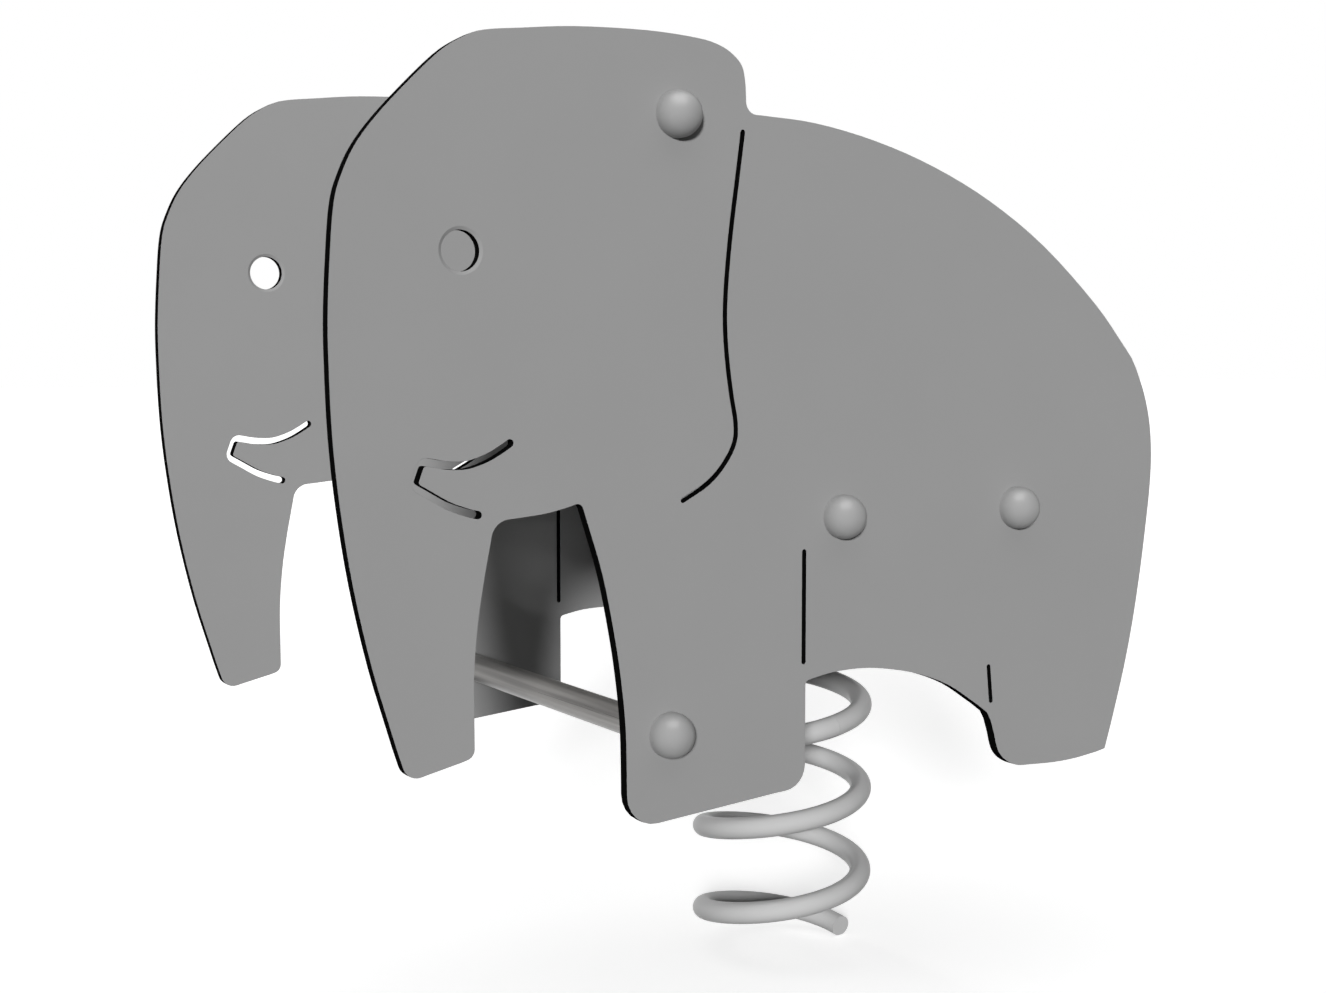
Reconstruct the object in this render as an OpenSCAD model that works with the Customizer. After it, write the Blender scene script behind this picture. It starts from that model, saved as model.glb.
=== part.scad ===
// Elephant spring rider: two sheet side panels, bolted to a steel saddle, that rock on one coil spring.
// X points the way the animal faces, Y to its left and Z up, in millimetres.
// The origin lies on the axis of the spring, at the height of the ground.

/* [Side panels] */
// Clear distance between the inner faces of the two panels
panel_gap = 430; // [380:1:480]
// Thickness of the sheet that the panels are cut from
panel_t = 10; // [8:0.5:15]
// Reach of the front leg ahead of the footrest's axis
leg_ahead = 38; // [25:1:60]
// Diameter of the eye hole
eye_d = 30; // [15:0.5:45]
// Width of the eased rim around the eye hole
eye_rim_w = 2.5; // [1:0.25:4]
// Depth of that rim below each face of the sheet
eye_rim_h = 1.25; // [0.5:0.25:2]
// Width of the slots that draw the ear and the tops of the legs
slot_w = 4; // [3:0.25:6]
// Width of the slot that draws the mouth
mouth_w = 6; // [3:0.25:8]

/* [Handle and footrest] */
// Outer diameter of the handle tube
handle_d = 25; // [22:0.5:32]
// Outer diameter of the footrest tube
footrest_d = 25; // [22:0.5:32]
// Wall of both tubes
tube_wall = 2.5; // [1.5:0.25:4]
// Length of the threaded insert in each tube end
insert_l = 28; // [20:1:40]
// Distance of the handle ahead of the spring axis
handle_x = 249; // [220:1:300]
// Height of the handle above the ground
handle_z = 754; // [650:1:850]
// Distance of the footrest ahead of the spring axis
footrest_x = 255; // [210:1:300]
// Height of the footrest above the ground
footrest_z = 275; // [240:1:330]

/* [Saddle and seat] */
// Length of the saddle, front to rear
saddle_l = 240; // [200:1:290]
// Thickness of the steel that the saddle is folded from
saddle_t = 6; // [5:0.5:8]
// Height of the upper face of the saddle above the ground
saddle_top = 462; // [460:1:540]
// Depth of the flanges folded down along the front and rear edges
flange_h = 30; // [15:1:40]
// Distance of the saddle's panel bolts from the spring axis, to the front and to the rear
saddle_bolt_x = 92; // [70:1:105]
// Height of the saddle's panel bolts above the ground
saddle_bolt_z = 439; // [370:1:440]
// Steel left below the saddle's panel bolts
ear_margin = 20; // [14:1:30]
// Thickness of the seat board
seat_t = 13; // [10:0.5:20]
// Reach of the seat board ahead of the spring axis
seat_front = 130; // [120:1:150]
// Reach of the seat board behind the spring axis
seat_rear = 190; // [150:1:200]
// Gap between the seat board and each panel
seat_gap = 3; // [1:0.5:8]
// Radius of the seat board's corners
seat_r = 35; // [5:1:60]
// Distance of the seat bolts from the spring axis, to the front and to the rear
seat_bolt_x = 85; // [70:1:95]
// Distance of the seat bolts from the middle plane
seat_bolt_y = 150; // [130:1:170]

/* [Spring] */
// Diameter of the spring wire
wire_d = 20; // [16:0.5:24]
// Mean diameter of the coils
coil_d = 150; // [125:1:178]
// Rise of the open coils in one turn
pitch = 80; // [66:1:95]
// Angle of the lower cut end, counted from the rear
start_angle = 5; // [-45:1:45]
// Share of a turn over which the top of the wire bends level
ease_turns = 0.15; // [0.1:0.01:0.2]

/* [Spring head] */
// Width of the plate that the spring is clamped to, from side to side
plate_w = 210; // [175:1:250]
// Room between that plate and the saddle's flanges, at the front and at the rear
plate_room = 9; // [2:0.5:20]
// Thickness of that plate
plate_t = 12; // [10:0.5:16]
// Width of a clamp
clamp_w = 36; // [28:1:44]
// Thickness of a clamp's arm
clamp_t = 10; // [8:0.5:12]
// Diameter of the clamp bolts
clamp_bolt_d = 12; // [10:1:14]
// Diameter of the countersunk screws that hold the plate under the saddle
plate_screw_d = 10; // [8:0.5:12]
// Distance of those screws from the edges of the plate
plate_screw_edge = 15; // [12:0.5:25]

/* [Fasteners] */
// Diameter of the panel bolts
bolt_d = 10; // [8:1:12]
// Width across the flats of the panel bolts and their nuts
bolt_af = 17; // [15:1:19]
// Height of the panel bolts' heads
head_h = 6.4; // [5:0.1:8]
// Height of the panel bolts' nuts
nut_h = 8; // [6:0.5:10]
// Outer diameter of the washers under those nuts
washer_d = 20; // [20:0.5:24]
// Thickness of the washers
washer_t = 2; // [1.5:0.25:3]
// Diameter of the seat bolts
seat_bolt_d = 8; // [6:1:8]
// Outer diameter of the domed bolt caps
cap_d = 36.5; // [34:0.5:44]
// Height of the domed bolt caps above the panel
cap_h = 22; // [22:0.5:26]
// Wall of the domed bolt caps
cap_wall = 2; // [1.5:0.25:3]
// Thickness of the base ring under each cap
base_t = 3; // [2:0.25:4]

/* [Hidden] */
$fn = 96;

sheet_grey = "#939393";
spring_grey = "#b6b6b6";
cap_grey = "#8c8c8c";
zinc_grey = "#a9adb0";
tube_grey = "#9a9c9e";

// Clearances: bolt in a drilled hole, thread in its hole, plug in its tube, curved faces that only rest
hole_gap = 0.5;
thread_gap = 0.1;
plug_gap = 0.05;
rest_gap = 0.3;
// How far a cutting tool runs past the face that it leaves
cut_run = 1;
// How far two shapes of one piece are sunk into each other before they are joined
join_run = 1;
// Bolt left standing past its nut
bolt_tail = 3;

// Spans of a curve between two of its points, and of an arc that rounds a corner
curve_steps = 4;
arc_steps = 6;

panel_inner = panel_gap / 2;
panel_outer = panel_inner + panel_t;
left = 1;
right = -1;

// Above the shoulder the panel follows the handle: heights there are shares of the handle's rise above it
shoulder_z = 520;
function head(x, share) = [x, shoulder_z + share * (handle_z - shoulder_z)];
// The front edge of the leg runs from ahead of the footrest up to the jaw
leg_front = footrest_x + leg_ahead;
jaw_x = 332;
function leg_edge(share, z) = [leg_front + share * (jaw_x - leg_front), z];

// Outline of a panel, in X and Z: smooth runs, with a rounded corner after each of them
outline_runs = [
    // trunk, forehead and crown
    [[482, 286], [500, 346], [514, 407], [523, 464], [528, 514],
     head(530, 0.197), head(530, 0.359), head(527, 0.577), head(524, 0.684),
     head(519, 0.752), head(510, 0.833), head(497, 0.91), head(477, 1.004),
     head(446, 1.132), head(426, 1.188), head(410, 1.214), head(380, 1.231),
     head(335, 1.252), head(275, 1.261), head(230, 1.252), head(210, 1.235),
     head(198, 1.209), head(190, 1.175), head(187, 1.128), head(186, 1.073)],
    // back
    [head(172, 1.017), head(120, 1.004), head(60, 0.957), head(0, 0.88),
     head(-60, 0.769), head(-120, 0.615), head(-180, 0.406), head(-216, 0.244)],
    // rump
    [head(-230, 0.162), head(-240, 0.068), [-247, 511], [-250, 482], [-249, 452], [-245, 417], [-239, 374],
     [-231, 329], [-221, 286], [-208, 241]],
    // rear foot
    [[-190, 214], [-165, 211], [-140, 210], [-112, 211], [-98, 212], [-86, 217], [-78, 224],
     [-74, 232], [-71, 243], [-67, 255]],
    // belly
    [[-52, 270], [-20, 290], [15, 303], [50, 310], [75, 312], [100, 311], [118, 308]],
    // rear edge of the front leg
    [[127, 290], [127, 245]],
    // sole of the front leg
    [[155, 217], [footrest_x + 10, 206]],
    // front edge of the front leg
    [leg_edge(0, 235), leg_edge(0.026, 282), leg_edge(0.128, 321), leg_edge(0.282, 358),
     leg_edge(0.538, 404), leg_edge(0.872, 445)],
    // jaw
    [[jaw_x + 10, 457], [360, 453], [378, 451], [388, 450]],
    // rear edge of the trunk
    [[407, 433], [413, 403], [418, 371], [421, 334], [421, 290]],
    // tip of the trunk
    [[432, 272], [458, 266]]
];
// Corner after each run, as X, Z and radius
outline_corners = [
    concat(head(186, 1.017), 10), concat(head(-224, 0.205), 6), [-200, 216, 2], [-63, 262, 3],
    [127, 306, 4], [127, 219, 20], [leg_front, 203, 25], [jaw_x, 460, 5],
    [404, 449, 15], [421, 275, 8], [474, 262, 12]
];
eye_centre = head(429, 0.538);
ear_line = [
    head(189, 0.957), head(194, 0.803), head(200, 0.62), head(204, 0.449),
    head(205, 0.329), head(203, 0.205), head(199, 0.085),
    [195, 518], [196, 502], [205, 486], [220, 471], [243, 458]
];
front_leg_line = [[129, 322], [129, 412]];
rear_leg_line = [[-67, 272], [-64, 302]];
upper_lip_line = [[391, 506], [400, 500.5], [410, 495.5], [425, 491], [440, 491], [452, 493]];
// Corners of the lips, as X, Z and radius
mouth_corners = [[461, 494.5, 5.5], [467.5, 477, 5.5]];
lower_lip_line = [[456, 470.5], [440, 461.5], [425, 456], [417, 454]];

// Plane geometry: directions, smooth curves through points, rounded corners and slots of one width
function unit(v) = v / norm(v);
function left_of(v) = [-v[1], v[0]];
function last_of(list) = list[len(list) - 1];
function flat(corner) = [corner[0], corner[1]];
function spline_at(a, b, c, d, t) =
    b + (c - a) * t / 2
    + (2 * a - 5 * b + 4 * c - d) * t * t / 2
    + (3 * b - a - 3 * c + d) * t * t * t / 2;
function smooth(pts) =
    let (last = len(pts) - 1)
    [
        for (i = [0 : last - 1])
            let (before = i == 0 ? 2 * pts[0] - pts[1] : pts[i - 1])
            let (after = i == last - 1 ? 2 * pts[last] - pts[last - 1] : pts[i + 2])
            for (s = [0 : curve_steps - 1])
                spline_at(before, pts[i], pts[i + 1], after, s / curve_steps),
        pts[last]
    ];
function fillet(p, corner, q) =
    let (tip = flat(corner))
    let (to_p = unit(p - tip))
    let (to_q = unit(q - tip))
    let (half = acos(to_p * to_q) / 2)
    let (room = min(norm(p - tip), norm(q - tip)))
    let (radius = min(corner[2], room * tan(half)))
    let (centre = tip + unit(to_p + to_q) * radius / sin(half))
    let (first = tip + to_p * radius / tan(half) - centre)
    let (turn = sign(cross(to_q, to_p)) * (180 - 2 * half))
    [
        for (s = [0 : arc_steps])
            let (a = turn * s / arc_steps)
            centre + [first[0] * cos(a) - first[1] * sin(a), first[0] * sin(a) + first[1] * cos(a)]
    ];
function rounded_outline(runs, corners) =
    let (count = len(runs))
    [
        for (i = [0 : count - 1])
            each concat(smooth(runs[i]), fillet(last_of(runs[i]), corners[i], runs[(i + 1) % count][0]))
    ];
function rounded_box(low, high, radius) =
    let (tips = [low, [high[0], low[1]], high, [low[0], high[1]]])
    [
        for (i = [0 : 3])
            each fillet(tips[(i + 3) % 4], concat(tips[i], radius), tips[(i + 1) % 4])
    ];
function side_step(pts, i) =
    let (last = len(pts) - 1)
    let (before = unit(pts[max(i, 1)] - pts[max(i, 1) - 1]))
    let (after = unit(pts[min(i, last - 1) + 1] - pts[min(i, last - 1)]))
    left_of(before + after) / (1 + before * after);
function round_end(p, towards, half_w) =
    [
        for (s = [1 : arc_steps - 1])
            let (a = 90 - 180 * s / arc_steps)
            p + half_w * (cos(a) * towards + sin(a) * left_of(towards))
    ];
function slot_outline(pts, width) =
    let (last = len(pts) - 1)
    let (half_w = width / 2)
    concat(
        [for (i = [0 : last]) pts[i] + half_w * side_step(pts, i)],
        round_end(pts[last], unit(pts[last] - pts[last - 1]), half_w),
        [for (i = [last : -1 : 0]) pts[i] - half_w * side_step(pts, i)],
        round_end(pts[0], unit(pts[0] - pts[1]), half_w)
    );

panel_outline = rounded_outline(outline_runs, outline_corners);
mouth_line = concat(
    smooth(upper_lip_line),
    fillet(last_of(upper_lip_line), mouth_corners[0], flat(mouth_corners[1])),
    fillet(flat(mouth_corners[0]), mouth_corners[1], lower_lip_line[0]),
    smooth(lower_lip_line)
);
slots = [
    slot_outline(smooth(ear_line), slot_w),
    slot_outline(front_leg_line, slot_w),
    slot_outline(rear_leg_line, slot_w),
    slot_outline(mouth_line, mouth_w)
];

// Places of the panel bolts, in X and Z
handle_spot = [handle_x, handle_z];
footrest_spot = [footrest_x, footrest_z];
saddle_spots = [[saddle_bolt_x, saddle_bolt_z], [-saddle_bolt_x, saddle_bolt_z]];
bolt_spots = concat([handle_spot, footrest_spot], saddle_spots);

// Distances from the middle plane: ends of the panel bolts, and inner face of the saddle's ears
saddle_ear_inner = panel_inner - saddle_t;
insert_bolt_end = panel_inner - insert_l + bolt_tail;
saddle_bolt_end = saddle_ear_inner - washer_t - nut_h - bolt_tail;
// The flanges stop short of those bolts
flange_end_gap = 4;
flange_w = 2 * (saddle_bolt_end - flange_end_gap);
// The ears reach from the web past their bolts, and the seat keeps clear of ears that stand above the web
ear_low = min(saddle_top - saddle_t, saddle_bolt_z - ear_margin);
ear_high = max(saddle_top, saddle_bolt_z + ear_margin);
seat_half_w = panel_inner - seat_gap - (ear_high > saddle_top ? saddle_t : 0);

// Heights of the stack, from the seat down to the clamps
seat_top = saddle_top + seat_t;
saddle_under = saddle_top - saddle_t;
plate_under = saddle_under - plate_t;
wire_r = wire_d / 2;
coil_r = coil_d / 2;
level_z = plate_under - rest_gap - wire_r;
clamp_upper = level_z - wire_r - rest_gap;
clamp_lower = clamp_upper - clamp_t;

// Nuts and heads grow with the diameter of their bolts
flats_share = 1.6;
head_share = 0.64;
// Seat bolts and plate screws have countersunk heads of twice their diameter
seat_head_r = seat_bolt_d;
plate_head_r = plate_screw_d;
seat_nut_h = seat_bolt_d;
seat_nut_af = flats_share * seat_bolt_d;
clamp_head_h = head_share * clamp_bolt_d;
clamp_head_af = flats_share * clamp_bolt_d;

// The spring plate fits between the saddle's flanges
plate_l = saddle_l - 2 * saddle_t - 2 * plate_room;
plate_screw_x = plate_l / 2 - plate_screw_edge;
plate_screw_y = plate_w / 2 - plate_screw_edge;

// A clamp holds the wire against the plate, with its bolt just inside the coil and its heel further in
clamp_bolt_side = 5;
clamp_bolt_r = coil_r - wire_r - clamp_bolt_side - clamp_bolt_d / 2;
clamp_heel_side = 5;
clamp_heel_outer = clamp_bolt_r - clamp_bolt_d / 2 - clamp_heel_side;
clamp_outer = coil_r + wire_r;
clamp_count = 3;

// The wire rises at its pitch, bends level and ends under the last clamp.
// The turn below the last clamp leaves room for the clamp's arm, which spaces the clamps.
foot_cut = 0.5;
foot_z = wire_r - foot_cut;
clamp_room = 3;
clamp_turns = clamp_w / (2 * PI * coil_r);
clamp_drop = wire_d + clamp_t + clamp_room;
ease_rise = pitch * ease_turns / 2;
clamp_step = (1 - (clamp_drop - ease_rise) / pitch - ease_turns - clamp_turns) / (clamp_count - 1);
level_turns = (clamp_count - 1) * clamp_step + clamp_turns;
ease_start = (level_z - foot_z - ease_rise) / pitch;
level_start = ease_start + ease_turns;
wire_turns = level_start + level_turns;
function clamp_turn(i) = level_start + clamp_turns / 2 + i * clamp_step;
// The heels reach inwards until they would meet their neighbours
clamp_heel_room = 2;
clamp_inner = (clamp_w + clamp_heel_room) / 2 / tan(180 * clamp_step);

// The wire is held in three lengths that meet face to face, one for each way that it gives
lower_end = 2.75;
middle_end = 4;
rings_per_turn = 24;
wire_sides = 10;

function wire_angle(u) = start_angle + 180 + 360 * u;
function wire_z(u) =
    let (v = u - ease_start)
    u < ease_start ? foot_z + pitch * u
    : u < level_start ? level_z - ease_rise + pitch * (v - v * v / (2 * ease_turns))
    : level_z;
function wire_slope(u) =
    u < ease_start ? pitch
    : u < level_start ? pitch * (1 - (u - ease_start) / ease_turns)
    : 0;
function wire_at(u) = [coil_r * cos(wire_angle(u)), coil_r * sin(wire_angle(u)), wire_z(u)];
function wire_ring(u) =
    let (a = wire_angle(u))
    let (outward = [cos(a), sin(a), 0])
    let (along = [-2 * PI * coil_r * sin(a), 2 * PI * coil_r * cos(a), wire_slope(u)])
    let (upward = unit(cross(outward, along)))
    [
        for (s = [0 : wire_sides - 1])
            let (b = 360 * s / wire_sides)
            wire_at(u) + wire_r * (cos(b) * outward + sin(b) * upward)
    ];

// Least gap between the wire and itself, on points of its centre line at least half a turn apart
gap_count = ceil(wire_turns * rings_per_turn);
gap_points = [for (i = [0 : gap_count]) wire_at(wire_turns * i / gap_count)];
least_gap = min([
    for (i = [0 : gap_count])
        for (j = [i + rings_per_turn / 2 : 1 : gap_count])
            norm(gap_points[i] - gap_points[j])
]) - wire_d;
echo(str("least gap of the spring wire to itself, mm: ", least_gap));

// One unbroken tube along the wire between two counts of turns
module wire_length(from, to) {
    count = ceil((to - from) * rings_per_turn);
    points = [for (i = [0 : count]) each wire_ring(from + (to - from) * i / count)];
    sides = [
        for (i = [0 : count - 1])
            for (s = [0 : wire_sides - 1])
                let (a = i * wire_sides + s)
                let (b = i * wire_sides + (s + 1) % wire_sides)
                each [[a, b, b + wire_sides], [a, b + wire_sides, a + wire_sides]]
    ];
    last_ring = count * wire_sides;
    lower_face = [for (s = [1 : wire_sides - 2]) [0, s + 1, s]];
    upper_face = [for (s = [1 : wire_sides - 2]) [last_ring, last_ring + s, last_ring + s + 1]];
    polyhedron(points, concat(sides, lower_face, upper_face));
}

// Puts a shape on a panel bolt's axis, with its Z pointing outwards from a face at distance y
module on_panel(spot, side, y) {
    translate([spot[0], side * y, spot[1]]) rotate([-90 * side, 0, 0]) children();
}

module side_panel() {
    translate([0, panel_outer, 0]) rotate([90, 0, 0]) difference() {
        linear_extrude(panel_t) polygon(panel_outline);
        translate([0, 0, -cut_run]) {
            for (slot = slots) {
                linear_extrude(panel_t + 2 * cut_run) polygon(slot);
            }
            for (spot = bolt_spots) {
                translate(spot) cylinder(h = panel_t + 2 * cut_run, d = bolt_d + 2 * hole_gap);
            }
        }
        translate(eye_centre) eye_hole();
    }
}

// Hole through the sheet, with a shallow cone from each face that eases its rim
module eye_hole() {
    slope = eye_rim_w / eye_rim_h;
    tip = eye_rim_h + eye_d / 2 / slope;
    translate([0, 0, -cut_run]) cylinder(h = panel_t + 2 * cut_run, d = eye_d);
    translate([0, 0, panel_t - tip]) cylinder(h = tip + cut_run, r1 = 0, r2 = (tip + cut_run) * slope);
    translate([0, 0, -cut_run]) cylinder(h = tip + cut_run, r1 = (tip + cut_run) * slope, r2 = 0);
}

module left_panel() {
    color(sheet_grey) side_panel();
}

module right_panel() {
    color(sheet_grey) mirror([0, 1, 0]) side_panel();
}

// Round tube that spans the gap between the panels
module cross_tube(spot, diameter) {
    on_panel(spot, left, -panel_inner) difference() {
        cylinder(h = panel_gap, d = diameter);
        translate([0, 0, -cut_run]) cylinder(h = panel_gap + 2 * cut_run, d = diameter - 2 * tube_wall);
    }
}

module handle_tube() {
    color(tube_grey) cross_tube(handle_spot, handle_d);
}

module footrest_tube() {
    color(tube_grey) cross_tube(footrest_spot, footrest_d);
}

// Threaded plugs in the two ends of a tube
module tube_inserts(spot, diameter) {
    for (side = [left, right]) {
        on_panel(spot, side, panel_inner - insert_l) difference() {
            cylinder(h = insert_l, d = diameter - 2 * tube_wall - 2 * plug_gap);
            translate([0, 0, -cut_run]) cylinder(h = insert_l + 2 * cut_run, d = bolt_d + 2 * thread_gap);
        }
    }
}

module handle_inserts() {
    color(zinc_grey) tube_inserts(handle_spot, handle_d);
}

module footrest_inserts() {
    color(zinc_grey) tube_inserts(footrest_spot, footrest_d);
}

module hexagon(af, h) {
    cylinder(h = h, d = af / cos(30), $fn = 6);
}

// Bolt whose head bears on the base ring of its cap, and whose end lies end_y from the middle plane
module panel_bolt(spot, side, end_y) {
    reach = panel_outer + base_t - end_y;
    on_panel(spot, side, panel_outer + base_t) {
        hexagon(bolt_af, head_h);
        translate([0, 0, -reach]) cylinder(h = reach + join_run, d = bolt_d);
    }
}

module handle_bolts() {
    color(zinc_grey) for (side = [left, right]) panel_bolt(handle_spot, side, insert_bolt_end);
}

module footrest_bolts() {
    color(zinc_grey) for (side = [left, right]) panel_bolt(footrest_spot, side, insert_bolt_end);
}

module saddle_bolts() {
    color(zinc_grey)
        for (side = [left, right])
            for (spot = saddle_spots)
                panel_bolt(spot, side, saddle_bolt_end);
}

module saddle_washers() {
    color(zinc_grey)
        for (side = [left, right])
            for (spot = saddle_spots)
                on_panel(spot, side, saddle_ear_inner - washer_t) difference() {
                    cylinder(h = washer_t, d = washer_d);
                    translate([0, 0, -cut_run])
                        cylinder(h = washer_t + 2 * cut_run, d = bolt_d + 2 * hole_gap);
                }
}

module saddle_nuts() {
    color(zinc_grey)
        for (side = [left, right])
            for (spot = saddle_spots)
                on_panel(spot, side, saddle_ear_inner - washer_t - nut_h) difference() {
                    hexagon(bolt_af, nut_h);
                    translate([0, 0, -cut_run])
                        cylinder(h = nut_h + 2 * cut_run, d = bolt_d + 2 * thread_gap);
                }
}

// Ring under a bolt's head that its cap snaps over
module cap_base() {
    difference() {
        cylinder(h = base_t, d = cap_d - 2 * cap_wall - 2 * thread_gap);
        translate([0, 0, -cut_run]) cylinder(h = base_t + 2 * cut_run, d = bolt_d + 2 * hole_gap);
    }
}

// Round-topped plug, from the face that it stands on
module dome(diameter, skirt) {
    radius = diameter / 2;
    cylinder(h = skirt, r = radius);
    intersection() {
        translate([0, 0, skirt]) sphere(radius);
        cylinder(h = skirt + 2 * radius, r = diameter);
    }
}

module bolt_cap() {
    skirt = cap_h - cap_d / 2;
    difference() {
        dome(cap_d, skirt);
        translate([0, 0, -cut_run]) dome(cap_d - 2 * cap_wall, skirt + cut_run);
    }
}

module left_cap_bases() {
    color(cap_grey) for (spot = bolt_spots) on_panel(spot, left, panel_outer) cap_base();
}

module right_cap_bases() {
    color(cap_grey) for (spot = bolt_spots) on_panel(spot, right, panel_outer) cap_base();
}

module left_bolt_caps() {
    color(cap_grey) for (spot = bolt_spots) on_panel(spot, left, panel_outer) bolt_cap();
}

module right_bolt_caps() {
    color(cap_grey) for (spot = bolt_spots) on_panel(spot, right, panel_outer) bolt_cap();
}

// Repeats a shape at the four corners of a rectangle about the spring axis
module four_corners(x, y) {
    for (sx = [-1, 1])
        for (sy = [-1, 1])
            translate([sx * x, sy * y, 0]) children();
}

// Folded tray: a web under the seat, an ear against each panel, and a flange along the front and the rear
module saddle() {
    color(zinc_grey) difference() {
        union() {
            translate([-saddle_l / 2, -panel_inner, saddle_under]) cube([saddle_l, panel_gap, saddle_t]);
            for (y = [-panel_inner, saddle_ear_inner]) {
                translate([-saddle_l / 2, y, ear_low]) cube([saddle_l, saddle_t, ear_high - ear_low]);
            }
            for (x = [-saddle_l / 2, saddle_l / 2 - saddle_t]) {
                translate([x, -flange_w / 2, saddle_under - flange_h])
                    cube([saddle_t, flange_w, flange_h + saddle_t]);
            }
        }
        for (side = [left, right])
            for (spot = saddle_spots)
                on_panel(spot, side, saddle_ear_inner - cut_run)
                    cylinder(h = saddle_t + 2 * cut_run, d = bolt_d + 2 * hole_gap);
        four_corners(seat_bolt_x, seat_bolt_y) translate([0, 0, saddle_under - cut_run])
            cylinder(h = saddle_t + 2 * cut_run, d = seat_bolt_d + 2 * hole_gap);
        four_corners(plate_screw_x, plate_screw_y) {
            translate([0, 0, saddle_under - cut_run])
                cylinder(h = saddle_t + 2 * cut_run, d = plate_screw_d + 2 * hole_gap);
            countersink(saddle_top, plate_head_r + hole_gap);
        }
    }
}

// Right-angled cone under a face at height z, run out above the face
module countersink(z, radius) {
    translate([0, 0, z - radius]) cylinder(h = radius + cut_run, r1 = 0, r2 = radius + cut_run);
}

// Countersunk screw whose head lies flush with a face at height z
module flush_screw(z, radius, diameter, reach) {
    translate([0, 0, z - radius]) cylinder(h = radius, r1 = 0, r2 = radius);
    translate([0, 0, z - reach]) cylinder(h = reach - radius / 2, d = diameter);
}

module seat_board() {
    board = rounded_box([-seat_rear, -seat_half_w], [seat_front, seat_half_w], seat_r);
    color(sheet_grey) difference() {
        translate([0, 0, saddle_top]) linear_extrude(seat_t) polygon(board);
        four_corners(seat_bolt_x, seat_bolt_y) {
            translate([0, 0, saddle_top - cut_run])
                cylinder(h = seat_t + 2 * cut_run, d = seat_bolt_d + 2 * hole_gap);
            countersink(seat_top, seat_head_r + hole_gap);
        }
    }
}

module seat_bolts() {
    reach = seat_t + saddle_t + seat_nut_h + bolt_tail;
    color(zinc_grey) four_corners(seat_bolt_x, seat_bolt_y)
        flush_screw(seat_top, seat_head_r, seat_bolt_d, reach);
}

module seat_nuts() {
    color(zinc_grey) four_corners(seat_bolt_x, seat_bolt_y)
        translate([0, 0, saddle_under - seat_nut_h]) difference() {
            hexagon(seat_nut_af, seat_nut_h);
            translate([0, 0, -cut_run])
                cylinder(h = seat_nut_h + 2 * cut_run, d = seat_bolt_d + 2 * thread_gap);
        }
}

// Puts a shape at a clamp, with its X pointing outwards from the spring axis
module at_clamps() {
    for (i = [0 : clamp_count - 1]) rotate([0, 0, wire_angle(clamp_turn(i))]) children();
}

module spring_plate() {
    color(zinc_grey) difference() {
        translate([-plate_l / 2, -plate_w / 2, plate_under]) cube([plate_l, plate_w, plate_t]);
        translate([0, 0, plate_under - cut_run]) {
            four_corners(plate_screw_x, plate_screw_y)
                cylinder(h = plate_t + 2 * cut_run, d = plate_screw_d + 2 * thread_gap);
            at_clamps() translate([clamp_bolt_r, 0, 0])
                cylinder(h = plate_t + 2 * cut_run, d = clamp_bolt_d + 2 * thread_gap);
        }
    }
}

module plate_screws() {
    color(zinc_grey) four_corners(plate_screw_x, plate_screw_y)
        flush_screw(saddle_top, plate_head_r, plate_screw_d, saddle_t + plate_t);
}

// Each clamp is an arm under the wire with a heel that bears on the plate
module spring_clamps() {
    color(zinc_grey) at_clamps() difference() {
        union() {
            translate([clamp_inner, -clamp_w / 2, clamp_lower])
                cube([clamp_outer - clamp_inner, clamp_w, clamp_t]);
            translate([clamp_inner, -clamp_w / 2, clamp_lower])
                cube([clamp_heel_outer - clamp_inner, clamp_w, plate_under - clamp_lower]);
        }
        translate([clamp_bolt_r, 0, clamp_lower - cut_run])
            cylinder(h = clamp_t + 2 * cut_run, d = clamp_bolt_d + 2 * hole_gap);
    }
}

module clamp_bolts() {
    color(zinc_grey) at_clamps() translate([clamp_bolt_r, 0, clamp_lower - clamp_head_h]) {
        hexagon(clamp_head_af, clamp_head_h);
        cylinder(h = clamp_head_h + saddle_under - rest_gap - clamp_lower, d = clamp_bolt_d);
    }
}

// The lower length stands on the ground and is cut flat there
module spring_lower_coils() {
    below = coil_d + 2 * wire_d;
    color(spring_grey) difference() {
        wire_length(0, lower_end);
        translate([-below / 2, -below / 2, -below]) cube(below);
    }
}

module spring_middle_coils() {
    color(spring_grey) wire_length(lower_end, middle_end);
}

module spring_upper_coils() {
    color(spring_grey) wire_length(middle_end, wire_turns);
}

left_panel();
right_panel();
handle_tube();
footrest_tube();
handle_inserts();
footrest_inserts();
handle_bolts();
footrest_bolts();
saddle_bolts();
saddle_washers();
saddle_nuts();
left_cap_bases();
right_cap_bases();
left_bolt_caps();
right_bolt_caps();
saddle();
seat_board();
seat_bolts();
seat_nuts();
spring_plate();
plate_screws();
spring_clamps();
clamp_bolts();
spring_lower_coils();
spring_middle_coils();
spring_upper_coils();
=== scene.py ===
# %% [markdown]
# # An elephant spring rider
# Two sheet panels, a seat between them and one coil spring. The imported CAD model is the fixed frame: it
# says where each piece lies and which body it moves with. This lesson dresses that frame. First the frame
# is loaded, and its box is kept.

# %% Load the frame
import math

import bmesh
import bpy
from mathutils import Matrix, Vector


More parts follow.
